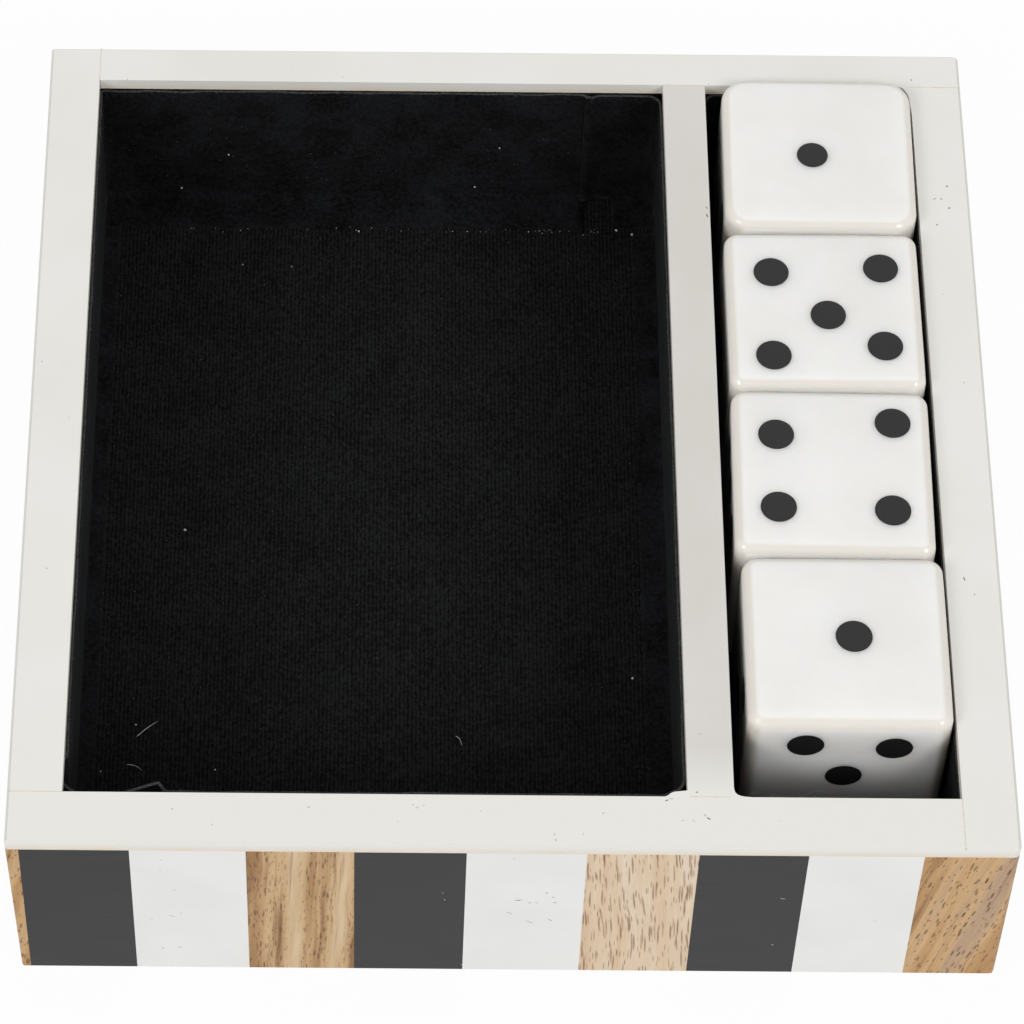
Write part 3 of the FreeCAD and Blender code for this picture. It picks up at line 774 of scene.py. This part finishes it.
# Lint, in millimetres: fibres with both ends and a width, specks on the floor with a place and
# a width, and specks on the back wall with a place along and up and a width
LINT_FIBRES = (
    ((-58.8, -39.4, 7.1), (-55.6, -36.7, 7.3), 0.17),
    ((-60.2, -44.7, 7.1), (-57.8, -45.8, 7.2), 0.13),
    ((-7.9, -38.9, 7.1), (-7.0, -40.6, 7.2), 0.15),
)
LINT_SPECKS = (
    (-52.4, 0.7, 0.55), (-24.4, 63.2, 0.4), (-44.2, 55.8, 0.3), (-35.8, 55.4, 0.3),
    (19.9, 63.9, 0.5), (22.6, 63.0, 0.5), (20.6, -27.6, 0.4), (-64.4, -46.0, 0.25),
    (-46.2, -45.5, 0.3), (-59.1, -37.2, 0.3),
)
WALL_SPECKS = ((-55.0, 9.6, 0.4), (-0.5, 21.3, 0.3), (-4.5, 10.6, 0.4), (-46.7, 18.8, 0.3))
# Where lint lies: the height of the well's pile, the front of the back wall and the hem's edge
PILE_TOP, WALL_FRONT, HEM_EDGE = 7.0, 70.3, 63.5
# How many: crumbs along the hem, dust on the floor and on the back wall, fibres in the slot
HEM_CRUMBS, FLOOR_DUST, WALL_DUST, SLOT_FIBRES = 46, 420, 150, 34


def scatter_lint(chance):
    """Lint that has fallen on the velvet: the fibres and specks that catch the eye, a row of
    crumbs along the hem, fine dust all over, more of it along the side hems, and a tangle of
    fibres in the slot's front left corner."""
    bm = bmesh.new()
    for start, end, thick in LINT_FIBRES:
        fibre(bm, start, end, thick, bow=(0.12, 0.25, 0.05), cuts=5, sides=5)
    for x, y, wide in LINT_SPECKS:
        crumb(bm, chance, (x, y, PILE_TOP), wide)
    for x, z, wide in WALL_SPECKS:
        crumb(bm, chance, (x, WALL_FRONT, z), wide)
    for _ in range(HEM_CRUMBS):
        x = chance.choice((chance.uniform(-62, 18), chance.uniform(-15, 18)))
        crumb(bm, chance, (x, HEM_EDGE + chance.gauss(0, 0.25), PILE_TOP),
              chance.uniform(0.08, 0.2))
    dim = bmesh.new()
    for _ in range(FLOOR_DUST):
        side_hem = chance.choice((0, 0, chance.choice((-64.8, 22.5))))
        x = side_hem + chance.gauss(0, 1.2) if side_hem else chance.uniform(-66, 25)
        crumb(dim, chance, (x, chance.uniform(-67, 63), PILE_TOP - 0.05),
              chance.uniform(0.08, 0.24))
    for _ in range(WALL_DUST):
        crumb(dim, chance, (chance.uniform(-66, 12), WALL_FRONT + 0.05, chance.uniform(12, 35)),
              chance.uniform(0.08, 0.22))
    piece("velvet_dust", dim, dull("grey_dust", "#232424", "#4C4D4C", grain=0.8))
    for _ in range(SLOT_FIBRES):
        start = Vector((chance.uniform(34.4, 47), chance.uniform(-67.9, -66.6),
                        chance.uniform(34.6, 36.2)))
        turn = chance.uniform(-0.5, 0.5)
        way = Vector((math.cos(turn), math.sin(turn) * 0.5, chance.uniform(-0.2, 0.2)))
        end = start + way * chance.uniform(1, 4)
        end.y = max(-68.3, min(-66.2, end.y))
        fibre(bm, start, end, chance.uniform(0.03, 0.07),
              bow=(0, chance.uniform(-0.7, 0.7), chance.uniform(-0.3, 0.3)), cuts=4)
    piece("lint", bm, dull("white_lint", "#8F9091", "#D6D4CE", grain=0.6))


def crumb(bm, chance, at, wide):
    """A tiny uneven ball of fluff."""
    made = bmesh.ops.create_icosphere(bm, subdivisions=1, radius=wide * MM / 2,
                                      matrix=Matrix.Translation(Vector(at) * MM))["verts"]
    for vert in made:
        vert.co += Vector([chance.uniform(-0.2, 0.2) * wide * MM for _ in range(3)])


# Marks on the rim, in millimetres: place, width and length
RIM_MARKS = (
    (72.7, 49.4, 0.4, 0.3), (70.5, 46.7, 0.9, 0.15), (71.6, 46.7, 0.3, 0.4),
    (72.8, 44.8, 0.45, 0.3), (70.6, 41.3, 0.3, 0.4), (68.1, 72.1, 0.35, 0.25),
    (32.9, 44.4, 0.25, 0.6), (32.9, 42.8, 0.3, 0.9), (23.2, -69.3, 0.6, 0.25),
    (29.4, -72.4, 0.7, 0.3), (27.8, -67.8, 0.5, 0.2), (-51.2, -71.5, 0.35, 0.15),
    (70.6, -28.6, 0.25, 0.8), (72.0, -31.5, 0.25, 0.25),
)
# Fainter smudges on the front rail, likewise
RIM_SMUDGES = (
    (-30.7, -71.0, 0.5, 0.35), (-14.4, -70.9, 0.4, 0.3), (-13.4, -70.5, 0.3, 0.25),
    (-15.0, -70.4, 0.25, 0.3), (6.4, -76.4, 0.3, 0.4), (6.2, -75.4, 0.2, 0.6),
    (-17.3, -73.4, 0.4, 0.2), (-4.8, -71.4, 0.35, 0.2), (23.9, -69.0, 0.8, 0.3),
    (25.5, -72.8, 0.5, 0.25), (27.2, -72.9, 0.7, 0.2), (28.9, -71.9, 0.4, 0.5),
    (-45.1, -74.2, 0.2, 0.5), (13.6, -71.6, 0.5, 0.3), (10.5, -75.3, 0.2, 0.5),
)
# Scuffs on the front tiles, in millimetres: grey ones, then pale ones, each with its place
# along and up, its width and its height
GREY_SCUFFS = (
    (-52.8, 33.2, 0.33, 0.2), (-53.1, 30.2, 0.25, 0.2), (-51.1, 24.2, 0.6, 0.15),
    (-51.7, 16.3, 1.2, 0.14), (-50.3, 17.2, 0.7, 0.14), (-53.4, 6.3, 0.7, 0.15),
    (-50.8, 6.6, 0.8, 0.15), (-0.1, 18.1, 1.1, 0.2), (1.3, 22.0, 1.3, 0.3), (3.0, 21.2, 0.6, 0.2),
    (4.1, 21.2, 0.6, 0.2), (5.5, 24.2, 0.3, 0.5), (6.5, 23.0, 0.6, 0.2), (6.8, 21.3, 0.8, 0.3),
    (3.2, 15.3, 1.7, 0.15), (6.3, 16.0, 0.8, 0.2),
)
PALE_SCUFFS = ((41.5, 23.1, 1.1, 0.16), (40.9, 8.9, 0.3, 0.35), (-10.3, 24.0, 0.25, 0.25),
               (-10.0, 21.9, 0.16, 0.5))
# The rim's joints, in millimetres: those along the depth with their x and the reach in y, and
# those across with their y and the reach in x; and half the width of a joint
DEPTH_JOINTS = ((-67.9, 70.5, 77.4), (67.8, -77.4, -68.6))
CROSS_JOINTS = ((-68.6, -76.1, -67.9), (70.5, 67.8, 76.1), (-68.6, 26.4, 33.4),
                (70.5, 26.4, 33.4))
HALF_JOINT = 0.07
# The fillers: the outline on plan, the rounded corners and their offset, in millimetres
FILLERS = {
    "filler_by_divider": (((22.3, -68.65), (23.3, -68.6), (23.95, -67.8), (26.8, -67.45),
                           (26.8, -68.65)), (1, 2), 0.55),
    "filler_slot_front": (((33.0, -68.65), (36.0, -68.58), (34.86, -68.5), (33.97, -68.23),
                           (33.53, -67.71), (33.37, -66.83), (33.0, -66.8)), (2, 3, 4), 0.25),
    "filler_slot_back": (((67.85, 70.55), (66.3, 70.5), (67.45, 69.2), (67.8, 64.5)), (2,), 1.2),
}


def dress_joints(resin):
    """Glue in the joints of the rim, filler in its inner corners, and marks of handling."""
    glue = dull("dried_wood_glue", "#CDBFA6", "#E2DACB", grain=0.7, rough=0.6)
    bm = bmesh.new()
    foot, top = RIM_FOOT / MM + 0.05, RIM_TOP / MM + 0.006
    for x, low, high in DEPTH_JOINTS:
        slab(bm, (x - HALF_JOINT, low, foot), (x + HALF_JOINT, high, top))
    for y, low, high in CROSS_JOINTS:
        slab(bm, (low, y - HALF_JOINT, foot), (high, y + HALF_JOINT, top))
    piece("glue_lines", bm, glue, smooth=False)
    for name, (outline, rounded, offset) in FILLERS.items():
        filler(name, outline, rounded, offset, resin)
    chance = random.Random(5)
    for name, marks, look in (
            ("handling_marks", RIM_MARKS, dull("ground_in_dirt", "#6E655C", "#A39C92", grain=0.3)),
            ("rail_smudges", RIM_SMUDGES, dull("finger_grease", "#C0BDB7", "#D6D4CF", grain=0.4))):
        bm = bmesh.new()
        for x, y, wide, long in marks:
            mark(bm, chance, x, y, RIM_TOP / MM, wide, long)
        piece(name, bm, look)
    for name, scuffs, look in (
            ("grey_scuffs", GREY_SCUFFS, dull("rubbed_grey", "#8E8D8A", "#B9B8B4", grain=0.5)),
            ("pale_scuffs", PALE_SCUFFS, dull("rubbed_white", "#A9A9A6", "#D0CFCB", grain=0.5))):
        bm = bmesh.new()
        for x, z, wide, tall in scuffs:
            scuff(bm, chance, x, z, wide, tall)
        piece(name, bm, look)


def main():
    """Build everything round the solids."""
    resin = white_resin("white_cast_resin", "#E4E2DC", "#E8E6E2")
    strip = white_resin("ivory_cast_resin", "#D2CFC9", "#D7D4CF")
    tile_resin, dark = white_tile_resin(), dark_resin()
    woods = [
        light_wood("mango_wood_streaked",
                   grounds=((0.36, "#7E5D3A"), (0.46, "#AB875E"), (0.53, "#CDB18B"),
                            (0.66, "#DCC7AB")),
                   pore="#573419", cell=(0.5, 3.4), share=0.32, bare=0.56, vein=1.0,
                   shift=(14.0, 9.0, 0), turn=0.03),
        light_wood("mango_wood_pale",
                   grounds=((0.34, "#D8BFA3"), (0.5, "#E2D0BA"), (0.66, "#E6DBCE")),
                   pore="#7C4E29", cell=(0.46, 8.5), share=0.36, bare=1.2, vein=0.08,
                   shift=(77.1, 10.0, 0), turn=-0.05),
        light_wood("mango_wood_honey",
                   grounds=((0.36, "#967142"), (0.45, "#BD976A"), (0.55, "#CFAF86"),
                            (0.66, "#BCA28A")),
                   pore="#4E2C17", cell=(0.8, 3.6), share=0.28, bare=1.2, vein=0.85,
                   shift=(110.3, 10.0, 0), turn=0.2),
    ]
    for rail in ("rail_front", "rail_right", "rail_back", "rail_left"):
        dress(rail, resin)
    dress("divider_strip", strip)
    for side in SIDES:
        for place in range(TILES_PER_SIDE):
            kind = (dark, tile_resin, woods[place // 3])[place % 3]
            dress(f"tile_{side}_{place + 1}", kind)
    # Painted shade: the core wood is coloured near black, so that where it shows in the narrow
    # gaps between the linings and the rim it reads as shadow
    core = dull("core_wood_black_as_painted_shade", "#191614", "#28221E", grain=2.0)
    for board in ("base_board", "wall_front", "wall_right", "wall_back", "wall_left",
                  "divider_core"):
        dress(board, core)
    dress_linings()
    dress_joints(resin)
    cast, filling = die_resin(), pip_resin()
    for name, form in DICE.items():
        die(name, form["turn"], form["upright"], form["edge"], cast)
        pips(name, form["turn"], filling)


# How strong the white room is as a fill light, how near to white the paper looks where nothing
# shades it, the floor's half width in metres, and what the lamps face
ROOM_FILL, PAPER_GLOW, FLOOR_REACH = 0.62, 0.97, 3.0
TRAY_MIDDLE = Vector((0, 0, 0.03))


def stage():
    """White floor, soft light and the photograph's camera."""
    scene = bpy.context.scene
    scene.view_settings.view_transform = "Standard"
    world = bpy.data.worlds.new("studio")
    scene.world = world
    world.use_nodes = True
    tree = world.node_tree
    tree.nodes.clear()
    strength = add(tree, "MapRange", {"Value": seen_directly(tree), "To Min": ROOM_FILL,
                                      "To Max": 1.0})
    room = add(tree, "Background", {"Color": (1, 1, 1, 1), "Strength": strength})
    add(tree, "OutputWorld", {"Surface": room})

    bm = bmesh.new()
    bmesh.ops.create_grid(bm, x_segments=1, y_segments=1, size=FLOOR_REACH)
    mesh = bpy.data.meshes.new("floor")
    bm.to_mesh(mesh)
    bm.free()
    floor = bpy.data.objects.new("floor", mesh)
    scene.collection.objects.link(floor)
    paper, tree = blank("white_paper")
    matt = add(tree, "BsdfDiffuse", {"Color": colour("#CCCCCC")})
    glow = add(tree, "Emission", {"Color": (1, 1, 1, 1), "Strength": 1.0})
    share = add(tree, "MapRange", {"Value": seen_directly(tree), "To Max": PAPER_GLOW})
    mixed = add(tree, "MixShader", {0: share, 1: matt, 2: glow})
    add(tree, "OutputMaterial", {"Surface": mixed})
    mesh.materials.append(paper)

    # Two softboxes: their glints on the hindmost die and the shadow edges in the slot give the
    # directions, 54 degrees to the left of the front and 41 to the right, about 33 and 37 up
    lamp("left_softbox", (-2.04, -1.48, 1.66), size=1.05, power=29.0)
    lamp("right_softbox", (1.68, -1.93, 1.96), size=1.15, power=34.5)

    camera = bpy.data.objects.new("camera", bpy.data.cameras.new("camera"))
    scene.collection.objects.link(camera)
    scene.camera = camera
    camera.location = CAMERA_PLACE
    look = Vector((math.sin(CAMERA_YAW) * math.cos(CAMERA_PITCH),
                   math.cos(CAMERA_YAW) * math.cos(CAMERA_PITCH), math.sin(CAMERA_PITCH)))
    camera.rotation_mode = "QUATERNION"
    camera.rotation_quaternion = look.to_track_quat("-Z", "Y") @ Quaternion(UP, CAMERA_ROLL)
    camera.data.sensor_width = CAMERA_SENSOR
    camera.data.lens = CAMERA_LENS
    camera.data.shift_x = CAMERA_SHIFT
    camera.data.clip_start, camera.data.clip_end = 0.01, 20


def seen_directly(tree):
    """1 for rays from the camera, a gloss or a clear body, which see the white room."""
    path = add(tree, "LightPath").outputs
    seen = add(tree, "Math", {0: path["Is Camera Ray"], 1: path["Is Glossy Ray"]},
               operation="MAXIMUM")
    return add(tree, "Math", {0: seen, 1: path["Is Transmission Ray"]}, operation="MAXIMUM")


def lamp(name, place, size, power):
    """A square soft lamp that faces the middle of the tray, in metres and watts."""
    light = bpy.data.lights.new(name, "AREA")
    light.size = size
    light.energy = power
    made = bpy.data.objects.new(name, light)
    bpy.context.scene.collection.objects.link(made)
    made.location = place
    made.rotation_mode = "QUATERNION"
    made.rotation_quaternion = (TRAY_MIDDLE - Vector(place)).to_track_quat("-Z", "Y")


main()
stage()
